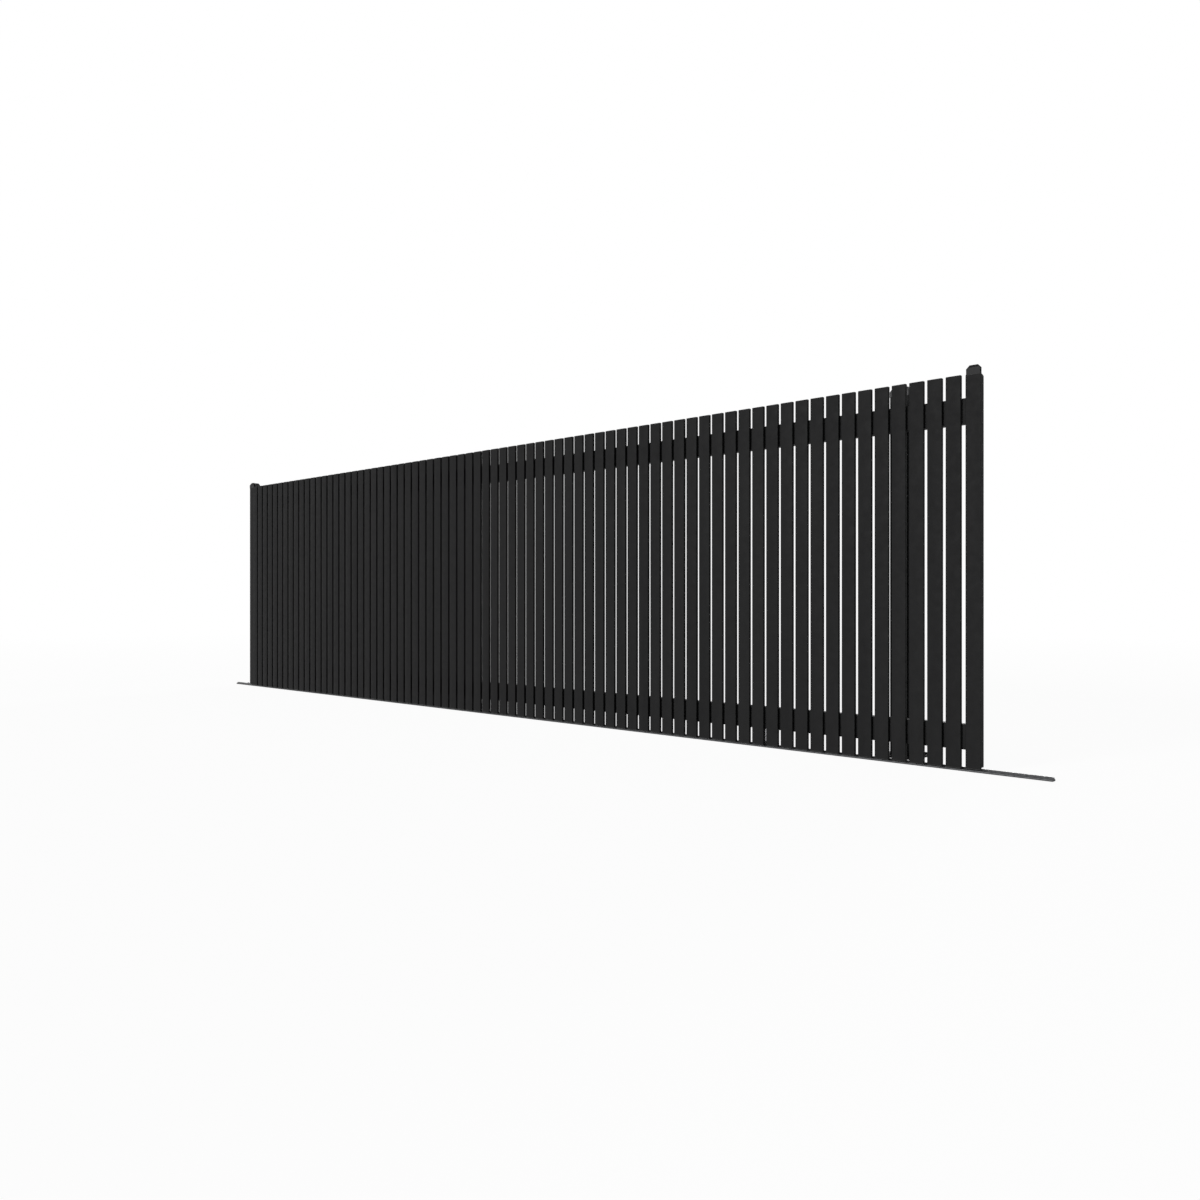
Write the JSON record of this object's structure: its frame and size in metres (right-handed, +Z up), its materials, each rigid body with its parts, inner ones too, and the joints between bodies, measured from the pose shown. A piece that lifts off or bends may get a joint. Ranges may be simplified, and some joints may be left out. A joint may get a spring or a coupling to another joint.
{
  "type": "sliding driveway gate",
  "caption": "Sliding driveway gate: a leaf of upright slats on two grooved wheels runs on a ground track, held upright by rollers on a guide post, with a catch post beyond its far end.",
  "frame": {"origin": "under the middle of the guide post's base plate, at ground level", "axes": "+X along the gate toward its near end, the way the leaf opens; +Y backward from the slatted front; +Z up"},
  "size_m": [7.394, 0.349, 1.858],
  "materials": {
    "leaf_paint": "matt black powder coat",
    "plate_paint": "satin dark grey paint",
    "post_paint": "matt black powder coat",
    "cap_plastic": "matt dark grey moulded plastic",
    "track_steel": "dull grey galvanised steel",
    "zinc_steel": "zinc plated",
    "wheel_steel": "turned steel",
    "roller_nylon": "natural nylon"
  },
  "bodies": {
    "site": {"track": "track_steel", "guide_post": "post_paint", "guide_post_plate": "post_paint", "guide_post_cap": "cap_plastic", "catch_post": "post_paint", "catch_post_plate": "post_paint", "catch_post_cap": "cap_plastic", "guide_bracket": "post_paint", "guide_pin_near": "zinc_steel", "guide_pin_far": "zinc_steel", "guide_roller_near": "roller_nylon", "guide_roller_far": "roller_nylon"},
    "leaf": {"leaf_panel": "leaf_paint", "stile_near": "leaf_paint", "stile_far": "leaf_paint", "stop_plate_near": "plate_paint", "stop_plate_far": "plate_paint", "guide_channel": "leaf_paint", "carriage_near": "zinc_steel", "carriage_far": "zinc_steel", "axle_near": "zinc_steel", "axle_far": "zinc_steel"},
    "near_wheel": {"wheel_near": "wheel_steel"},
    "far_wheel": {"wheel_far": "wheel_steel"}
  },
  "joints": [
    {"name": "leaf_slide", "type": "slide", "parent": "site", "child": "leaf", "axis": [1, 0, 0], "range_m": [0, 1.4]},
    {"name": "near_wheel_roll", "type": "hinge", "parent": "leaf", "child": "near_wheel", "pos_m": [-0.688, -0.216, 0.0513], "axis": [0, 1, 0], "range_deg": [0, 2432]},
    {"name": "far_wheel_roll", "type": "hinge", "parent": "leaf", "child": "far_wheel", "pos_m": [-5.141, -0.216, 0.0513], "axis": [0, 1, 0], "range_deg": [0, 2432]}
  ],
  "couplings": [
    {"joint": "near_wheel_roll", "follows": "leaf_slide", "rad_per_m": 30.303},
    {"joint": "far_wheel_roll", "follows": "leaf_slide", "rad_per_m": 30.303}
  ]
}
